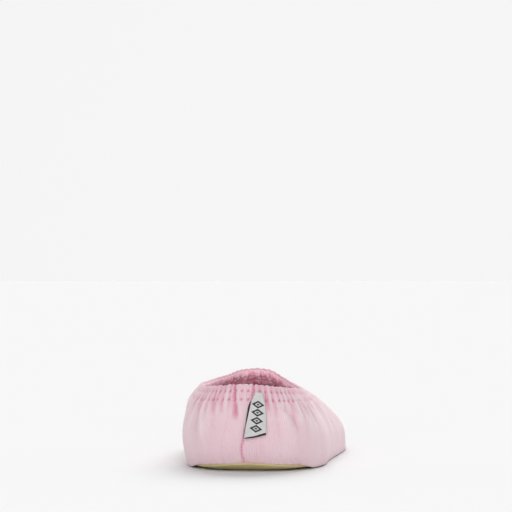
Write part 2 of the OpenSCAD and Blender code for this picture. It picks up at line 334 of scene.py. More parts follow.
def fold_profile(along, drop, fold, shoulder):
    """A fold's cross section at each point, 1 in its middle and slightly negative beside it."""
    start, end, half_width, _ = fold
    run = np.subtract(end, start)
    length = math.hypot(*run)
    part = ((along - start[0]) * run[0] + (drop - start[1]) * run[1]) / length**2
    across = ((along - start[0]) * run[1] - (drop - start[1]) * run[0]) / length
    from_ends = np.minimum(part / FOLD_FADES[0], (1 - part) / FOLD_FADES[1])
    q = np.abs(across) / (half_width * (FOLD_NARROW + FOLD_WIDENS * np.clip(part, 0, 1)))
    beside = np.exp(-((q - SHOULDER_PLACE) ** 2) / SHOULDER_SPREAD)
    return smooth(from_ends + FOLD_BLUNTNESS) * (np.exp(-q * q) - shoulder * beside)


def sway(points, drop, above_sole):
    """The slow unevenness that every layer of the wall shares, in millimetres."""
    slow = noise_field(points, 26.0, 1) * 0.55 + noise_field(points, 9.0, 2) * 0.16
    return slow * smooth(above_sole / 12.0) * smooth(drop / 16.0)


def seam_place(drop, full):
    """Where the back seam stands along the collar's lengths, for drops of the whole drop."""
    part = drop / full
    bend = SEAM_BEND * smooth((part - SEAM_BEND_START) / (1 - SEAM_BEND_START))
    return SEAM_TOP + (SEAM_FOOT - SEAM_TOP) * part + bend


# Depths and half widths of what the needle does to the upper
ROW_DIP = 0.22
ROW_DIP_WIDTH = 0.9
PINCH = 0.45
PINCH_ALONG = 0.42
PINCH_DOWN = 0.5
GROOVE = 0.48
GROOVE_WIDTH = 0.34
ALLOWANCE_SWELL = 0.28
ALLOWANCE_DIP = 0.14
ALLOWANCE_DIP_WIDTH = 0.35
# Small puckers where the upper is drawn into the sole seam
PUCKERS = 96
PUCKER_HEIGHT = 0.14
PUCKER_REACH = 3.0


def gathered(along, drop, calm):
    """The fine and the middle gathers at each point, and the height of all three kinds together."""
    header = smooth((ROWS[0] + 1.5 - drop) / 4.0)
    fine = fine_gathers.lift(along, drop, -8.0, ROWS[0]) * (1 - 0.35 * header)
    past_rows = smooth((drop - ROWS[1]) / 4.0)
    fine = fine * (1 - 0.35 * past_rows * smooth((drop - 9.0) / 6.0))
    middle = middle_gathers.lift(along, drop, 1.0, ROWS[1] + 2.5)
    broad = broad_gathers.lift(along, drop, 3.0, ROWS[1] + 7.0)
    return fine, middle, (0.95 * fine + 0.9 * middle + 0.95 * broad) * calm


def outer_relief(along, drop, full, points):
    """How far the upper stands out at each point, and its painted light and shade from -1 to 1: lighter
    on gathers and ridges, darker in folds, stitch holes and the seam's groove.
    """
    a = from_heel(along)
    beside_seam = a - seam_place(drop, full)
    # The cloth over the seam allowance is doubled, so it hardly gathers
    flat = smooth((beside_seam + ALLOWANCE + 1.0) / 1.2) * (1 - smooth((beside_seam + 0.4) / 0.9))
    calm = 1 - 0.88 * flat
    fine, middle, gather = gathered(along, drop, calm)
    valleys = sum(f[3] * fold_profile(a, drop, f, 0.35) for f in VALLEYS)
    ridges = sum(f[3] * fold_profile(a, drop, f, 0.2) for f in RIDGES)
    lift = gather + 0.7 * ridges - 0.85 * valleys
    # Stitches pull the cloth in at every mark of both rows
    beside_mark = fine_gathers.nearest_mark(along)
    pinch = 0.0
    for row in ROWS:
        pinch = pinch + bell(beside_mark, PINCH_ALONG) * bell(drop - row, PINCH_DOWN)
        lift = lift - ROW_DIP * calm * bell(drop - row, ROW_DIP_WIDTH)
    lift = lift - PINCH * pinch
    # The seam is a groove with a slight swell on the side where its allowance lies
    groove = bell(beside_seam, GROOVE_WIDTH)
    lift = lift - GROOVE * groove + ALLOWANCE_SWELL * flat
    allowance_row = bell(beside_seam + ALLOWANCE, ALLOWANCE_DIP_WIDTH)
    lift = lift - ALLOWANCE_DIP * allowance_row * smooth((drop - 8) / 4)
    above_sole = full - drop
    unevenness = 2.0 * noise_field(points, 14.0, 4)
    pucker = np.sin(along * 2 * np.pi * PUCKERS / wall.edge_length + unevenness)
    lift = lift + PUCKER_HEIGHT * pucker * np.exp(-above_sole / PUCKER_REACH)
    lift = lift + sway(points, drop, above_sole)
    # Painted light and shade: lighter on the crests of the gathers and on the ridges, darker down the
    # valleys (deeper valleys darker), in the stitch holes where the thread pinches the cloth and in the
    # seam's groove
    tone = 0.9 * (fine - 0.42) * (1 - smooth((drop - 9.0) / 7.0)) * calm
    tone = tone + 0.65 * (middle - 0.3 * smooth((12 - drop) / 6)) * calm + 0.55 * ridges
    shade = sum(0.45 * f[3] ** 2 * fold_profile(a, drop, f, 0.1) for f in VALLEYS)
    tone = tone - shade - 1.5 * pinch - 1.15 * groove
    return lift, np.clip(tone, -1.3, 1.0)


def edge_rise(along):
    """How the collar's edge rises and falls with the gathers."""
    return 0.5 * (fine_gathers.lift(along, 0 * along, -8.0, 3.0) - 0.3)


# ------------ cloth as grids
def column_turns(columns):
    """Turns of the columns, spaced half by the collar's length and half by the belly's."""
    measure = wall.edge / wall.edge_length + wall.belly / wall.belly_length
    return np.interp(np.linspace(0, 2, columns + 1), measure, wall.turns)


def drops_to_seam(full, rows, top, power=1.25):
    """Drops from the seam up to a top one, closer together near the collar."""
    t = np.linspace(1, 0, rows)
    return top + (full - top) * t**power


def grain_place(points, along_belly):
    """Cloth measure across the ribs: round the heel, then straight along the foot."""
    start = -62.0
    heel = np.minimum(along_belly, wall.belly_length - along_belly)
    straight = wall.belly_at(start) + points[..., 1] - start
    blend = smooth((points[..., 1] - start + 14.0) / 28.0)
    return heel * (1 - blend) + straight * blend


def lay_layer(columns, profile):
    """A whole layer laid by profile(length from collar to seam), which gives one column's rows.

    Returns what lay_rows does, then the lengths round the collar and the belly, and from collar
    to seam.
    """
    turns = column_turns(columns)
    full = wall.full_drop(turns)
    points, faces, drops = lay_rows(turns, [profile(whole) for whole in full])
    along, belly = (np.interp(turns, wall.turns, loop)[:, None] + 0 * drops
                    for loop in (wall.edge, wall.belly))
    return points, faces, drops, along, belly, full[:, None]


def lay_rows(turns, rows):
    """Points, outward directions and drops for each column's rows of (depth, drop, turn over).

    Turn over is an angle: at 0 the cloth faces out, at a right angle up and at a straight one in.
    """
    depths, drops, overs = (np.array([[row[k] for row in column] for column in rows]) for k in range(3))
    rises = wall.rise_at(turns, np.maximum(drops, 0))
    t = turns[:, None] + 0 * rises
    points = wall_point(t, rises)
    _, up, out = wall_axes(t, rises)
    over = overs[..., None]
    faces = out * np.cos(over) + up * np.sin(over)
    points = points - out * depths[..., None] - up * np.minimum(drops, 0)[..., None]
    return points, faces, drops


def grid_mesh(name, points, grain=None, tone=None, closed=True, inside_out=False):
    """A mesh of cloth from points[column][row] in millimetres, with its grain and the painted light and
    shade it carries.
    """
    columns, rows = points.shape[:2]
    bm = bmesh.new()
    bmesh.ops.create_grid(bm, x_segments=columns - 1, y_segments=rows - 1, size=1)
    bm.verts.ensure_lookup_table()
    flat = np.swapaxes(points, 0, 1).reshape(-1, 3) * MM
    for vert, place in zip(bm.verts, flat):
        vert.co = place
    if grain is not None:
        layer = bm.loops.layers.uv.new("grain")
        places = np.swapaxes(grain, 0, 1).reshape(-1, 2)
        for face in bm.faces:
            for loop in face.loops:
                loop[layer].uv = places[loop.vert.index]
    if tone is not None:
        layer = bm.verts.layers.float.new("tone")
        for vert, value in zip(bm.verts, np.swapaxes(tone, 0, 1).reshape(-1)):
            vert[layer] = value
    if closed:
        ends = [v for v in bm.verts if v.index % columns in (0, columns - 1)]
        bmesh.ops.remove_doubles(bm, verts=ends, dist=1e-6)
    if inside_out:
        bmesh.ops.reverse_faces(bm, faces=bm.faces)
    return finish_mesh(name, bm)


def finish_mesh(name, bm):
    """Writes a bmesh to a new smooth object of the scene."""
    for face in bm.faces:
        face.smooth = True
    mesh = bpy.data.meshes.new(name)
    bm.to_mesh(mesh)
    bm.free()
    piece = bpy.data.objects.new(name, mesh)
    bpy.context.scene.collection.objects.link(piece)
    return piece


def rework(piece, *steps):
    """Runs bmesh steps on a piece's mesh."""
    bm = bmesh.new()
    bm.from_mesh(piece.data)
    for step in steps:
        step(bm)
    bm.to_mesh(piece.data)
    bm.free()


def weld(bm):
    bmesh.ops.remove_doubles(bm, verts=bm.verts, dist=2e-5)


def fill_ends(bm):
    bmesh.ops.holes_fill(bm, edges=[e for e in bm.edges if e.is_boundary], sides=0)


def face_outwards(bm):
    bmesh.ops.recalc_face_normals(bm, faces=bm.faces)


def thicken(piece, thickness):
    """Gives a sheet its thickness, inwards."""
    solid = piece.modifiers.new("thickness", "SOLIDIFY")
    solid.thickness = thickness * MM
    solid.offset = -1
    solid.use_even_offset = False


# ------------ finishes
class Finish:
    """A material with short ways to add its nodes."""

    def __init__(self, name, roughness, sheen=0.0, sheen_roughness=0.4, specular=0.3):
        self.material = bpy.data.materials.new(name)
        self.material.use_nodes = True
        self.tree = self.material.node_tree
        self.surface = self.tree.nodes["Principled BSDF"]
        self.surface.inputs["Roughness"].default_value = roughness
        self.surface.inputs["Specular IOR Level"].default_value = specular
        self.surface.inputs["Sheen Weight"].default_value = sheen
        self.surface.inputs["Sheen Roughness"].default_value = sheen_roughness

    def node(self, kind, inputs, **settings):
        node = self.tree.nodes.new(kind)
        for setting, value in settings.items():
            setattr(node, setting, value)
        for socket, value in inputs.items():
            if isinstance(value, bpy.types.NodeSocket):
                self.tree.links.new(value, node.inputs[socket])
            else:
                node.inputs[socket].default_value = value
        return node

    def math(self, operation, a, b=0.0):
        return self.node("ShaderNodeMath", {0: a, 1: b}, operation=operation).outputs[0]

    def object_place(self):
        return self.node("ShaderNodeTexCoord", {}).outputs["Object"]

    def grain(self):
        """The cloth's own measure in millimetres: across the ribs and down them."""
        place = self.node("ShaderNodeUVMap", {}, uv_map="grain").outputs[0]
        parts = self.node("ShaderNodeSeparateXYZ", {0: place})
        return parts.outputs[0], parts.outputs[1]

    # The painted light and shade that each cloth mesh carries in an attribute: lighter on what stands
    # out, darker in folds and creases
    def tone(self):
        return self.node("ShaderNodeAttribute", {}, attribute_name="tone").outputs["Fac"]

    def wave(self, place, pitch):
        """A wave from -1 to 1 that repeats every pitch."""
        return self.math("SINE", self.math("MULTIPLY", place, 2 * math.pi / pitch))

    def noise(self, place, size, detail=2.0, roughness=0.5):
        """Noise about zero whose lumps are about the given size in metres."""
        inputs = {"Vector": place, "Scale": 1.0 / size, "Detail": detail, "Roughness": roughness}
        cloud = self.node("ShaderNodeTexNoise", inputs).outputs[0]
        return self.math("SUBTRACT", cloud, 0.5)

    def total(self, *weighted):
        """The sum of (socket, weight) pairs."""
        whole = 0.0
        for socket, weight in weighted:
            part = self.math("MULTIPLY", socket, weight)
            whole = part if whole == 0.0 else self.math("ADD", whole, part)
        return whole

    def ramp(self, place, stops):
        """Colours by place: stops are (position, (red, green, blue))."""
        node = self.node("ShaderNodeValToRGB", {0: place})
        ramp = node.color_ramp
        while len(ramp.elements) < len(stops):
            ramp.elements.new(0.5)
        for element, (position, colour) in zip(ramp.elements, stops):
            element.position = position
            element.color = (*colour, 1)
        return node.outputs[0]

    def away(self, place, centre):
        """Distance from a centre, whichever side of it."""
        return self.math("ABSOLUTE", self.math("SUBTRACT", place, centre))

    def shades(self, shade, stops, middle=0.5):
        """Colours by a shade that runs to both sides of zero."""
        return self.ramp(self.math("ADD", shade, middle), stops)

    def colour(self, socket):
        self.tree.links.new(socket, self.surface.inputs["Base Color"])

    def bump(self, height, millimetres):
        """Relief whose height of 1 is the given depth."""
        inputs = {"Height": height, "Strength": 1.0, "Distance": millimetres * MM}
        node = self.node("ShaderNodeBump", inputs)
        self.tree.links.new(node.outputs[0], self.surface.inputs["Normal"])


def cotton(name, stops, rib_pitch, rib_depth, roughness=0.86, sheen=0.5):
    """Ribbed cotton: stops run from painted shade at the bottom of a fold to a painted highlight on the
    top of a ridge.
    """
    cloth = Finish(name, roughness, sheen)
    across, down = cloth.grain()
    place = cloth.object_place()
    rib = cloth.wave(across, rib_pitch)
    thread = cloth.math("MULTIPLY", cloth.wave(down, 0.42), cloth.wave(across, rib_pitch / 2))
    fuzz = cloth.noise(place, 0.0011, 3.0, 0.6)
    blotch = cloth.noise(place, 0.014, 2.0)
    # The colour mixes the painted light and shade with random blotches, fuzz and the ribs
    shade = cloth.total((cloth.tone(), 0.48), (blotch, 0.24), (fuzz, 0.22), (rib, 0.035))
    cloth.colour(cloth.shades(shade, stops))
    cloth.bump(cloth.total((rib, rib_depth), (thread, 0.03), (fuzz, 0.12)), 1.0)
    return cloth.material


# For each cloth the first, deepest stop is painted shade at the bottom of a fold and the last, palest
# one a painted highlight on a ridge
canvas = cotton(
    "ballet_pink_canvas",
    [(0.05, (0.66, 0.22, 0.34)), (0.33, (0.71, 0.42, 0.50)), (0.50, (0.775, 0.56, 0.615)),
     (0.72, (0.81, 0.64, 0.68)), (0.95, (0.85, 0.72, 0.75))],
    rib_pitch=1.0, rib_depth=0.05,
)
facing_cotton = cotton(
    "deep_pink_facing",
    [(0.05, (0.78, 0.26, 0.38)), (0.35, (0.91, 0.45, 0.57)), (0.55, (0.95, 0.61, 0.70)),
     (0.95, (0.96, 0.74, 0.80))],
    rib_pitch=0.8, rib_depth=0.05,
)
lining_cotton = cotton(
    "pink_lining",
    [(0.05, (0.66, 0.28, 0.38)), (0.50, (0.82, 0.50, 0.58)), (0.95, (0.87, 0.62, 0.68))],
    rib_pitch=0.8, rib_depth=0.03,
)


def suede():
    """Napped suede with lighter and darker patches where the nap lies differently."""
    hide = Finish("olive_suede", 0.92, sheen=0.12, sheen_roughness=0.6, specular=0.15)
    place = hide.object_place()
    nap = hide.noise(place, 0.0006, 4.0, 0.7)
    patches = hide.noise(place, 0.012, 3.0, 0.55)
    shade = hide.total((nap, 0.5), (patches, 0.9))
    hide.colour(hide.shades(shade, [
        (0.1, (0.34, 0.28, 0.12)), (0.5, (0.59, 0.50, 0.235)), (0.9, (0.70, 0.61, 0.33)),
    ]))
    hide.bump(nap, 0.25)
    return hide.material


def foam():
    """Open-celled foam."""
    sponge = Finish("cream_foam", 0.9)
    place = sponge.object_place()
    cells = sponge.node("ShaderNodeTexVoronoi", {"Vector": place, "Scale": 1400.0}).outputs[0]
    # The ramp darkens the middle of each cell, where the bump is lowest: painted shade in the pores
    sponge.colour(sponge.ramp(cells, [(0.0, (0.60, 0.50, 0.38)), (0.7, (0.83, 0.77, 0.66))]))
    sponge.bump(cells, 0.3)
    return sponge.material


def braided_elastic():
    """Ribbed elastic: cords along its length, crossed by ticks."""
    band = Finish("white_elastic", 0.7, sheen=0.15)
    across, down = band.grain()
    cords = band.wave(down, 0.5)
    ticks = band.wave(across, 0.4)
    weave = band.total((cords, 0.5), (band.math("MULTIPLY", cords, ticks), 0.4))
    fuzz = band.noise(band.object_place(), 0.0008, 3.0)
    shade = band.total((weave, 0.25), (fuzz, 0.4))
    band.colour(band.shades(shade, [(0.1, (0.66, 0.60, 0.56)), (0.9, (0.86, 0.83, 0.80))]))
    band.bump(weave, 0.12)
    return band.material


def twill_tape():
    """Herringbone tape sewn down along both of its edges."""
    tape = Finish("pale_seam_tape", 0.75, sheen=0.2)
    across, down = tape.grain()
    to_side = tape.math("ABSOLUTE", across)
    twill = tape.wave(tape.math("ADD", down, to_side), 0.62)
    fuzz = tape.noise(tape.object_place(), 0.0009, 3.0)
    in_row = tape.math("LESS_THAN", tape.away(to_side, 3.2), 0.2)
    in_stitch = tape.math("GREATER_THAN", tape.wave(down, 2.3), -0.35)
    stitch = tape.math("MULTIPLY", in_row, in_stitch)
    shade = tape.total((twill, 0.18), (fuzz, 0.45), (stitch, -0.45))
    tape.colour(tape.shades(shade, [
        (0.05, (0.62, 0.32, 0.40)), (0.5, (0.80, 0.56, 0.62)), (0.95, (0.86, 0.69, 0.73)),
    ], middle=0.55))
    tape.bump(tape.total((twill, 0.5), (stitch, 1.0)), 0.14)
    return tape.material


def thread_finish(name, dark, light):
    """Spun thread: fine twisted strands, a little lustre."""
    thread = Finish(name, 0.5, sheen=0.2)
    place = thread.object_place()
    strands = thread.noise(place, 0.0003, 2.0)
    thread.colour(thread.shades(strands, [(0.3, dark), (0.7, light)]))
    thread.bump(strands, 0.05)
    return thread.material


olive_suede = suede()
cream_foam = foam()
white_elastic = braided_elastic()
seam_tape = twill_tape()
pink_thread = thread_finish("pink_thread", (0.68, 0.44, 0.51), (0.81, 0.60, 0.66))
sole_thread = thread_finish("sole_thread", (0.34, 0.28, 0.14), (0.50, 0.43, 0.25))


def dress(piece, material, node, body="root"):
    """Gives a piece its finish, hangs it on the body it rides on and hides the part of the frame that
    it stands for.
    """
    piece.data.materials.append(material)
    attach(piece, body)
    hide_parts(node)
    return piece


# ------------ the upper
COLUMNS = 560
ROLL_STEPS = 7
QUARTER = math.pi / 2
# The rows of cloth lie closer together above this drop
COLLAR_BAND = 14.0
# Past the heel's back the cloth sags: the height over the seam where it sags most, how far it
# sags, and the lengths round the heel where that begins and where it is whole
SAG_HEIGHT = 2.6
SAG = 3.6
SAG_FROM = (22.0, 40.0)
# The hanging cloth comes no nearer the floor than this
FLOOR_GAP = 0.35


def hang(points, above_sole, from_back):
    """Lets the cloth sag over the sole's edge and down to the floor, past the heel's back."""
    part = np.maximum(above_sole, 0) / SAG_HEIGHT
    start, whole = SAG_FROM
    fall = (part * np.exp(1 - part)) ** 1.5 * smooth((from_back - start) / (whole - start))
    fall = fall * (1 + 0.25 * noise_field(points, 16.0, 31))
    hung = points.copy()
    hung[..., 2] -= SAG * fall
    rests = fall > 0.02
    hung[..., 2] = np.where(rests, np.maximum(hung[..., 2], FLOOR_GAP), hung[..., 2])
    return hung


def upper_rows(whole):
    """One column from the tuck at the sole up the wall, over the edge and a little way inside."""
    tuck = [(1.6, whole, -QUARTER), (0.8, whole, -QUARTER * 0.8), (0.25, whole, -QUARTER * 0.4)]
    foot = [(0.0, whole - s, 0.0) for s in (0.5, 1.0, 1.5, 2.1, 2.8, 3.6, 4.5, 5.5)]
    body = [(0.0, d, 0.0) for d in drops_to_seam(whole - 6.6, 36, COLLAR_BAND)]
    band = [(0.0, d, 0.0) for d in np.linspace(COLLAR_BAND, ROLL, 23)[1:]]
    angles = np.linspace(0, math.pi, ROLL_STEPS + 2)[1:]
    roll = [(ROLL * (1 - math.cos(b)), ROLL * (1 - math.sin(b)), b) for b in angles]
    inner = [(2 * ROLL, ROLL + d, math.pi) for d in (0.5, 1.0)]
    return tuck + foot + body + band + roll + inner


def make_upper():
    """The canvas, gathered round the collar, folded at the heel and hanging over the sole's edge."""
    points, faces, drops, along, belly, full = lay_layer(COLUMNS, upper_rows)
    overs = np.array([row[2] for row in upper_rows(HEEL_DROP)])
    reach = np.where(overs > 0, drops * np.cos(overs), drops)
    lift, tone = outer_relief(along, reach, full, points)
    points = points + faces * (lift * (1 - 0.5 * smooth(overs / math.pi)))[..., None]
    points[..., 2] += np.sin(np.clip(overs, 0, math.pi)) * edge_rise(along)
    grain = np.stack([grain_place(points, belly), drops], -1)
    points = hang(points, full - drops, np.minimum(belly, wall.belly_length - belly))
    upper = grid_mesh("upper_cloth", points, grain, tone)
    thicken(upper, CANVAS)
    return upper


upper = dress(make_upper(), canvas, "upper")


def on_upper(along, drop, proud=0.0):
    """Points of the finished upper, and the way it faces there."""
    along = np.asarray(along, float)
    drop = np.asarray(drop, float)
    turns = wall.turn_at(np.mod(along, wall.edge_length))
    points, faces, _ = lay_rows(turns, [[(0.0, d, 0.0)] for d in drop])
    lift, _ = outer_relief(along[:, None], drop[:, None], wall.full_drop(turns)[:, None], points)
    return points[:, 0] + faces[:, 0] * (lift + proud), faces[:, 0]


# ------------ inside the collar and the wall
inner_gathers = Gathers(1.9, 0.35, height=(0.25, 0.9), reach=(2.0, 5.0), seed=29)


def inner_layer(name, columns, profile, relief, inside_out=True):
    """A layer inside the upper, whose relief moves it in."""
    points, faces, drops, along, belly, full = lay_layer(columns, profile)
    lift, tone = relief(along, drops, full, points)
    points = points - faces * lift[..., None]
    points[..., 2] += edge_rise(along) * (1 - smooth(drops / 1.5))
    grain = np.stack([grain_place(points, belly), drops], -1)
    return grid_mesh(name, points, grain, tone, inside_out=inside_out)


def facing_profile(whole):
    """From under the turned edge down over the elastic to a free lower edge."""
    top = [(0.8, 0.4), (0.9, 0.08), (1.1, -0.12), (1.4, -0.1), (1.8, 0.1), (2.2, 0.6), (2.48, 1.2)]
    band = [(2.62, d) for d in np.linspace(1.85, 11.2, 25)]
    rows = top + band + [(2.35, 11.55), (2.0, 11.6)]
    return [(depth, drop, 0.0) for depth, drop in rows[::-1]]


def facing_relief(along, drop, full, points):
    """Small tight gathers, crumpled between the two rows and held down at them."""
    small = inner_gathers.lift(along, drop, -1.2, 1.6)
    large = fine_gathers.lift(along, drop, -0.4, 2.6)
    crumple = noise_field(points, 1.2, 7) * 0.5 + noise_field(points, 3.2, 8) * 0.4
    lift = 0.8 * small + 0.45 * large + crumple * smooth((drop + 0.2) / 1.0)
    for row in ROWS:
        lift = lift - 0.35 * bell(drop - row, 0.55)
    # Painted light and shade: lighter where the gathers stand out and at the top edge, darker between
    # them and further down inside
    tone = 1.5 * (lift - 0.45 * smooth((drop + 0.4) / 2.0))
    return lift, np.clip(tone, -1.2, 1.0)


def lining_profile(whole):
    """From the sole's seam up to behind the facing."""
    return [(1.9, d, 0.0) for d in drops_to_seam(whole - 0.2, 34, 7.6)]


def lining_relief(along, drop, full, points):
    above_sole = full - drop
    wrinkles = noise_field(points * np.array([1, 1, 0.35]), 5.0, 5) * 0.35
    gather = 0.5 * middle_gathers.lift(along, drop, 0.0, 9.0)
    lift = (wrinkles + gather) * smooth(above_sole / 9.0) - 0.8 * sway(points, drop, above_sole)
    # Painted light and shade: lighter where the gathers and wrinkles stand out, darker between them
    return lift, np.clip(1.2 * (gather - 0.25) + wrinkles, -1.0, 1.0)


def elastic_profile(whole):
    """Flat between the two rows of stitches."""
    return [(1.75, d, 0.0) for d in np.linspace(6.5, 3.5, 7)]


def elastic_relief(along, drop, full, points):
    """Fine ribs where the elastic is drawn up."""
    return 0.06 * np.sin(along * 2 * math.pi / 1.4), 0 * drop


facing = inner_layer("gathered_facing", 640, facing_profile, facing_relief)
thicken(facing, INNER_COTTON)
dress(facing, facing_cotton, "topline_facing")
lining = inner_layer("lining_cloth", 320, lining_profile, lining_relief)
thicken(lining, INNER_COTTON)
dress(lining, lining_cotton, "upper_lining")
elastic = inner_layer("elastic_loop", 320, elastic_profile, elastic_relief, inside_out=False)
thicken(elastic, ELASTIC)
dress(elastic, white_elastic, "elastic_band")

# ------------ the sole and the sock
# Levels of the top of the suede and of the foam, and how far in the sole's edge curls up
SOLE_SKIN = 1.3
FOAM_TOP = 3.35
CURL_RUN = 13.0
# The sole's edge is sewn this far under the seam's line
SEAM_DEPTH = 0.9
SOCK_MARGIN = 1.2
HALF_ROUND = 720
seam_line = wall_point(np.linspace(0, 1, 2 * HALF_ROUND + 1), 0.0)
coarse_seam = seam_line[::6]


def sole_grid(lengths, widths, margin):
    """Level places over the sole's outline drawn in by a margin, in rows from heel to toe.

    With them come how far each lies from the seam's line, and the seam's height nearest to it.
    """
    heel_y, toe_y = seam_line[:, 1].min(), seam_line[:, 1].max()
    v = 0.5 - 0.5 * np.cos(np.linspace(0, math.pi, lengths))
    u = np.sin(np.linspace(-math.pi / 2, math.pi / 2, widths))
    y = heel_y + (toe_y - heel_y) * v
    outer = np.interp(y, *seam_line[:HALF_ROUND + 1, 1::-1].T)
    inner = np.interp(y, *seam_line[:HALF_ROUND - 1:-1, 1::-1].T)
    middle = (outer + inner) / 2
    x = middle[:, None] + (outer - inner)[:, None] / 2 * u[None, :]
    flat = np.stack([x, y[:, None] + 0 * x], -1)
    apart = np.linalg.norm(flat[:, :, None] - coarse_seam[None, None, :, :2], axis=-1)
    nearest = apart.argmin(-1)
    gap = apart.min(-1)
    pull = coarse_seam[nearest, :2] - flat
    flat = flat - pull / np.maximum(gap, 1.0)[..., None] * margin * smooth(1 - gap / 30)[..., None]
    return flat, gap, coarse_seam[nearest, 2]


def curl_at(seam_level, margin):
    """How far the sole's edge curls up, at a margin in from the seam's line."""
    part = np.clip(1 - np.maximum(margin, 0) / CURL_RUN, 0, 1)
    return np.maximum(seam_level - SEAM_DEPTH, 0) * part**2.3


def sole_ring(turns, margin, level):
    """The seam's line drawn in by a margin, at a level over the curl of the sole's edge."""
    seam = wall_point(turns, 0.0)
    slope = wall_point(turns + SLOPE_STEP, 0.0) - wall_point(turns - SLOPE_STEP, 0.0)
    ring = seam - level_normal(slope) * margin
    ring[:, 2] = level + curl_at(seam[:, 2], margin)
    return ring


def fill_rings(name, rings):
    """A closed body from rings that run up round it, with flat fills over the two end rings."""
    body = grid_mesh(name, np.stack(rings, axis=1))
    rework(body, fill_ends, face_outwards)
    return body


def make_outsole():
    """Suede cupped up at its edge: the underside, a rounded rim and the upper side."""
    turns = np.linspace(0, 1, 481)
    under = [(CURL_RUN * (1 - t) ** 1.3, 0.0) for t in np.linspace(0, 0.97, 16)]
    rim = [(-0.05, 0.1), (-0.3, 0.4), (-0.3, 0.75), (0.0, 1.05)]
    upper_side = [(m, SOLE_SKIN) for m in (0.6, 3.0, 7.0, CURL_RUN)]
    return fill_rings("suede_outsole", [sole_ring(turns, *place) for place in under + rim + upper_side])


def make_foam():
    """Foam cut short of the sole's edge, its underside lying on the curl and its top level."""
    turns = np.linspace(0, 1, 361)
    rings = [sole_ring(turns, m, SOLE_SKIN + 0.05) for m in (CURL_RUN, 10.0, 7.5, 5.5, 4.0)]
    rings += [sole_ring(turns, m, 0.0) for m in (3.8, 4.2, 7.0, CURL_RUN)]
    for ring, level in zip(rings[5:], (3.1, FOAM_TOP, FOAM_TOP, FOAM_TOP)):
        ring[:, 2] = level
    return fill_rings("foam_slab", rings)


def make_sock():
    """The sock over the foam, crowned a little and turned up where it meets the lining."""
    flat, gap, seam_level = sole_grid(130, 56, SOCK_MARGIN)
    place = np.dstack([flat, 0 * gap])
    crown = 0.9 * smooth(gap / 22.0) + 0.35 * noise_field(place, 22.0, 9) * smooth(gap / 12)
    ripple = 0.16 * noise_field(place, 5.0, 12)
    on_foam = FOAM_TOP + 0.65 + crown + ripple
    on_curl = SOLE_SKIN + 0.7 + curl_at(seam_level, gap + SOCK_MARGIN) + 0.5 * np.exp(-gap / 1.5)
    # The higher of the two, with a soft change from one to the other
    height = np.logaddexp(on_foam * 3, on_curl * 3) / 3
    # Painted light and shade: lighter on the ripples' crests, darker near the edge where the sock turns
    # up to the lining
    tone = 0.6 * ripple - 0.15 * np.exp(-gap / 1.6)
    sock = grid_mesh("cotton_sock", np.dstack([flat, height]), flat[..., ::-1], tone,
                     closed=False, inside_out=True)
    rework(sock, weld)
    thicken(sock, SOCK_COTTON)
    return sock


outsole = dress(make_outsole(), olive_suede, "outsole")
slab = dress(make_foam(), cream_foam, "insole_foam")
sock = dress(make_sock(), lining_cotton, "insole_sock")

# ------------ stitches
THREAD = 0.3
BAR_TACK = 0.4


def add_thread(bm, path, faces, thickness=THREAD):
    """One stitch: a round thread along a path of points, with rounded ends."""
    made = bmesh.ops.create_uvsphere(bm, u_segments=6, v_segments=6, radius=1.0)
    for vert in made["verts"]:
        t = (vert.co.z + 1) / 2 * (len(path) - 1)
        k = min(int(t), len(path) - 2)
        middle = path[k] + (path[k + 1] - path[k]) * (t - k)
        side = np.cross(unit(path[k + 1] - path[k]), faces[k])
        from_axis = math.hypot(vert.co.x, vert.co.y)
        round_off = (1 - vert.co.z**4) ** 0.5 / from_axis if from_axis > 1e-6 else 0.0
        offset = (side * vert.co.x + faces[k] * vert.co.y) * round_off * thickness / 2
        vert.co = (middle + offset) * MM


def thread_row(name, ends, steps, proud):
    """Stitches between pairs of places (along, drop) on the upper."""
    bm = bmesh.new()
    for start, end in ends:
        t = np.linspace(0.0, 1.0, steps)
        along = start[0] + (end[0] - start[0]) * t
        drop = start[1] + (end[1] - start[1]) * t
        path, faces = on_upper(along, drop, proud)
        add_thread(bm, path, faces)
    return finish_mesh(name, bm)


def collar_stitches(drop):
    """A row round the collar, one stitch between each two marks of the fine gathers."""
    marks = fine_gathers.marks
    return [((a + 0.2, drop), (b - 0.2, drop)) for a, b in zip(marks[:-1], marks[1:])]


def heel_stitches(beside, low, high, pitch):
    """Stitches down the back, beside the seam, between two drops."""
    count = int((high - low) / pitch)
    places = low + (np.arange(count)[:, None] + np.array([0.18, 0.82])) * pitch
    along = seam_place(places, HEEL_DROP) + beside
    return [((a[0], d[0]), (a[1], d[1])) for a, d in zip(along, places)]


for stitch_name, drop in (("topline_stitch_upper", ROWS[0]), ("topline_stitch_lower", ROWS[1])):
    row = thread_row(stitch_name + "_thread", collar_stitches(drop), 5, -0.06)
    dress(row, pink_thread, stitch_name)
back_seam = thread_row("back_seam_thread", heel_stitches(0.0, 0.6, HEEL_DROP - 0.6, 1.5), 3, 0.1)
dress(back_seam, pink_thread, "back_seam_stitch")
allowance_row = thread_row(
    "allowance_thread", heel_stitches(-ALLOWANCE, 8.0, HEEL_DROP - 0.8, 1.7), 3, 0.0)
dress(allowance_row, pink_thread, "allowance_stitch")


def make_sole_seam():
    """Stitches in the crease between the upper and the rim of the sole."""
    bm = bmesh.new()
    count = 150
    turns = (np.arange(count)[:, None] + np.array([0.16, 0.5, 0.84])) / count
    rim = wall_point(turns, 0.0)
    out = unit(wall_axes(turns, 0.0)[2] * np.array([1, 1, 0]))
    rim = rim + out * 0.05 - np.array([0, 0, 0.3])
    face = out * 0.9 - np.array([0, 0, 0.4])
    for path, faces in zip(rim, face):
        add_thread(bm, path, faces)
    return finish_mesh("sole_seam_thread", bm)


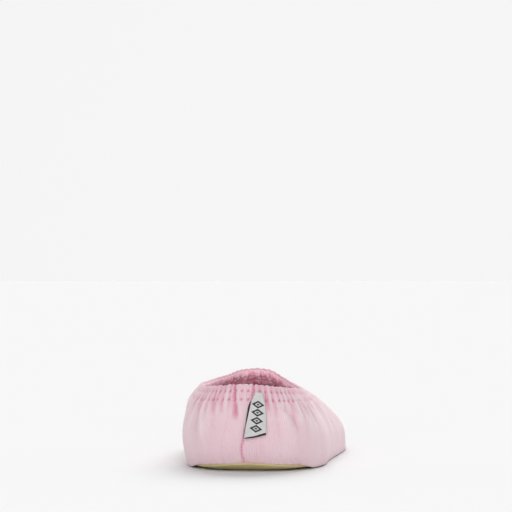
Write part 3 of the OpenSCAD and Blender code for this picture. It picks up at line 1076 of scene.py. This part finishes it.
def make_elastic_join():
    """Bar tacks that close the elastic into a loop."""
    bm = bmesh.new()
    for turn in 0.93 + np.arange(4) * 0.003:
        path, faces, _ = lay_rows(np.array([turn]), [[(1.7, drop, 0.0) for drop in (6.2, 5.0, 3.8)]])
        add_thread(bm, path[0], faces[0], BAR_TACK)
    return finish_mesh("elastic_bar_tacks", bm)


def make_heel_tape():
    """Tape over the raw edges of the back seam, inside the heel."""
    across = np.linspace(-4.0, 4.0, 19)
    drops = np.linspace(HEEL_DROP * 0.95, 8.0, 70)
    columns = []
    for a in across:
        # Its two edges are sewn down deeper
        depth = 2.12 + 0.18 * (abs(a) > 3.5)
        along = seam_place(drops, HEEL_DROP) + a
        turns = wall.turn_at(np.mod(along, wall.edge_length))
        points, faces, _ = lay_rows(turns, [[(depth, d, 0.0)] for d in drops])
        relief, _ = lining_relief(along[:, None], drops[:, None], HEEL_DROP, points)
        columns.append((points - faces * relief[..., None])[:, 0])
    points = np.array(columns)
    grain = np.stack(np.broadcast_arrays(across[:, None], drops[None, :]), -1)
    tape = grid_mesh("heel_tape", points, grain, closed=False, inside_out=True)
    thicken(tape, TAPE)
    return tape


dress(make_sole_seam(), sole_thread, "sole_seam_stitch")
dress(make_elastic_join(), sole_thread, "elastic_join")
dress(make_heel_tape(), seam_tape, "heel_seam_tape")

# ------------ label
hinge = frame["joints"][0]
HINGE_TOP = np.array(hinge["pos_m"]) / MM
HINGE_LINE = np.array(hinge["axis"])
LABEL_LEAN = math.radians(2.5)
# The folded ribbon lies flat to the outer side of its sewn edge: millimetres from the hinge's top,
# down it and across it, for the sewn edge and for the fold
SEWN_EDGE = [(-0.1, 3.0), (0.7, 2.3), (3.6, 1.3), (8.5, 0.7), (16.0, 0.15), (22.0, 0.0)]
FOLD_EDGE = [(-0.1, 5.3), (1.5, 6.1), (5.2, 7.6), (10.0, 8.8), (17.5, 9.8), (22.0, 10.0)]
# How far down each leaf reaches, from the sewn edge to the fold
FRONT_END = (21.6, 20.0, 17.7)
BACK_END = (21.9, 20.7, 18.7)
LABEL_LENGTH = 22.0
# The fold begins at this part of the way across
FOLD_START = 0.88
# The root runs down between these heights below the hinge's top, which is this far below the edge
ROOT_ENDS = (3.5, 21.0)
HINGE_DROP = 3.6


def label_axes():
    """Unit vectors across the label and out of its face."""
    bearing = math.atan2(HINGE_LINE[0], HINGE_LINE[2])
    side = np.array([math.cos(bearing), 0.0, -math.sin(bearing)])
    back = np.cross(HINGE_LINE, side)
    across = side * math.cos(LABEL_LEAN) + back * math.sin(LABEL_LEAN)
    return across, np.cross(across, HINGE_LINE)


def make_label():
    """A ribbon folded down its middle: out to the fold on the face and home again behind it."""
    across, face = label_axes()
    steps, rows = 23, 46
    u = np.linspace(0, 1, 2 * steps)
    leaf_part = 1 - np.abs(2 * u - 1)
    is_front = u < 0.5
    end = np.where(is_front, np.interp(leaf_part, [0, 0.5, 1], FRONT_END),
                   np.interp(leaf_part, [0, 0.5, 1], BACK_END))
    v = np.linspace(1, 0, rows)
    h = end[:, None] * v[None, :] - 0.1 * (1 - v)[None, :]
    left = np.interp(h, *np.transpose(SEWN_EDGE))
    right = np.interp(h, *np.transpose(FOLD_EDGE))
    # A half ellipse closes the fold, and the leaves part towards their free ends
    fold_width = 1 - FOLD_START
    turn = np.clip((leaf_part - FOLD_START) / fold_width, 0, 1)[:, None]
    rounded = FOLD_START + fold_width * np.sin(turn * math.pi / 2)
    reach = np.where(turn > 0, rounded, leaf_part[:, None])
    apart = 0.28 + 0.55 * (h / LABEL_LENGTH) ** 2 * smooth(leaf_part * 2.2)[:, None]
    stand = apart * np.cos(turn * math.pi / 2) * np.where(is_front, 1.0, -0.75)[:, None]
    curl = 0.5 * (reach - 0.4) ** 2 * h / LABEL_LENGTH + 0.25 * np.sin(h * 0.33 + 0.6) * reach
    w = left + (right - left) * reach
    points = HINGE_TOP + w[..., None] * across - h[..., None] * HINGE_LINE
    points = points + (stand + curl)[..., None] * face
    place_across = (w - (left + right) / 2) * np.where(is_front, 1.0, -1.0)[:, None]
    place_down = h + np.where(is_front, 0.0, 60.0)[:, None]
    grain = np.stack([place_across, place_down], -1)
    return grid_mesh("folded_label", points, grain, closed=False)


def make_label_stub():
    """The short stretch of ribbon between the back seam and the line where the label bends."""
    h = np.linspace(ROOT_ENDS[1], ROOT_ENDS[0], 34)
    drop = h + HINGE_DROP
    seam, _ = on_upper(seam_place(drop, HEEL_DROP), drop, -0.25)
    hinge_side = HINGE_TOP - h[:, None] * HINGE_LINE
    t = np.linspace(0, 0.97, 5)[:, None, None] * smooth((h - 3.0) / 4.5)[None, :, None]
    points = seam[None] * (1 - t) + hinge_side[None] * t
    grain = np.stack(np.broadcast_arrays(t[..., 0], h[None, :]), -1)
    return grid_mesh("label_root", points, grain, closed=False)


# Diamonds down the label: their number, their pitch and how far they reach to each side
DIAMONDS = 4
DIAMOND_STEP = 3.7
DIAMOND_REACH = 3.1
BLACK_YARN = (0.012, 0.012, 0.014, 1)


def label_satin():
    """White woven satin with a plain chain of black diamonds down its face."""
    satin = Finish("label_satin", 0.42, sheen=0.1, specular=0.4)
    across, down = satin.grain()
    row = satin.away(satin.math("MODULO", down, DIAMOND_STEP), DIAMOND_STEP / 2)
    column = satin.math("ABSOLUTE", across)
    spread = satin.total((row, 2 / DIAMOND_STEP), (column, 1 / DIAMOND_REACH))
    ring = satin.math("LESS_THAN", satin.away(spread, 0.74), 0.23)
    heart = satin.math("LESS_THAN", spread, 0.26)
    marks = satin.math("MAXIMUM", ring, heart)
    below_top = satin.math("GREATER_THAN", down, DIAMOND_STEP)
    above_end = satin.math("LESS_THAN", down, DIAMOND_STEP * (DIAMONDS + 1))
    marks = satin.math("MULTIPLY", marks, satin.math("MULTIPLY", below_top, above_end))
    weft = satin.wave(down, 0.24)
    warp = satin.wave(across, 0.3)
    weave = satin.math("MULTIPLY", weft, warp)
    cloud = satin.noise(satin.object_place(), 0.002, 3.0)
    shade = satin.total((weave, 0.2), (cloud, 0.5))
    ground = satin.shades(shade, [(0.2, (0.52, 0.52, 0.52)), (0.8, (0.66, 0.66, 0.66))])
    # A colour mix takes its factor in socket 0 and its two colours in sockets 6 and 7
    mix = satin.node("ShaderNodeMix", {0: marks, 6: ground, 7: BLACK_YARN}, data_type="RGBA")
    satin.colour(mix.outputs[2])
    satin.bump(satin.total((weave, 0.5), (marks, 0.4)), 0.05)
    return satin.material


def label_back():
    """The reverse of the weave, where the black yarn floats."""
    reverse = Finish("label_reverse", 0.6)
    across, down = reverse.grain()
    floats = reverse.math("MULTIPLY", reverse.wave(down, 0.3), reverse.wave(across, 0.5))
    reverse.colour(reverse.shades(reverse.math("MULTIPLY", floats, 0.5), [
        (0.0, (0.008, 0.008, 0.01)), (1.0, (0.05, 0.05, 0.055)),
    ]))
    reverse.bump(floats, 0.05)
    return reverse.material


satin = label_satin()
reverse = label_back()
label = dress(make_label(), satin, "label", body="label")
label.data.materials.append(reverse)
thicken(label, RIBBON)
label.modifiers["thickness"].material_offset = 1
label.modifiers["thickness"].material_offset_rim = 1
stub = make_label_stub()
# The root takes the black reverse on both faces: partly the label's black woven edge, partly painted
# shade beside the seam
stub.data.materials.append(reverse)
thicken(stub, 0.25)
stub.modifiers["thickness"].offset = 0
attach(stub, "root")

# ------------ stage and light
FLOOR_SHADE = 0.755
# The studio is bright beyond the toe and dimmer behind the camera
SKY_AHEAD = 0.92
SKY_BEHIND = 0.2


# Wide lamps far above: energy, width, and how they lean from overhead and roll, in degrees
SOFTBOXES = {
    "softbox_ahead": (2.4, 45, -45, 6),
    "softbox_behind_camera": (2.1, 50, 79, 4),
}


def make_stage():
    """A pale paper floor."""
    bm = bmesh.new()
    bmesh.ops.create_grid(bm, x_segments=1, y_segments=1, size=60.0)
    floor = finish_mesh("studio_floor", bm)
    paper = Finish("floor_paper", 1.0, specular=0.0)
    paper.surface.inputs["Base Color"].default_value = (*[FLOOR_SHADE] * 3, 1)
    floor.data.materials.append(paper.material)


def make_light():
    """A grey sky that is brighter ahead, and the softboxes."""
    world = bpy.data.worlds.new("studio_world")
    world.use_nodes = True
    nodes, links = world.node_tree.nodes, world.node_tree.links
    place = nodes.new("ShaderNodeTexCoord")
    parts = nodes.new("ShaderNodeSeparateXYZ")
    shade = nodes.new("ShaderNodeMapRange")
    shade.inputs["From Min"].default_value = -1.0
    shade.inputs["To Min"].default_value = SKY_BEHIND
    shade.inputs["To Max"].default_value = SKY_AHEAD
    links.new(place.outputs["Generated"], parts.inputs[0])
    links.new(parts.outputs["Y"], shade.inputs["Value"])
    links.new(shade.outputs[0], nodes["Background"].inputs["Color"])
    bpy.context.scene.world = world
    for name, (energy, width, lean, roll) in SOFTBOXES.items():
        lamp = bpy.data.lights.new(name, "SUN")
        lamp.energy = energy
        lamp.angle = math.radians(width)
        softbox = bpy.data.objects.new(name, lamp)
        softbox.rotation_euler = (math.radians(lean), math.radians(roll), 0)
        bpy.context.scene.collection.objects.link(softbox)


make_stage()
make_light()
bpy.context.scene.view_settings.view_transform = "Standard"
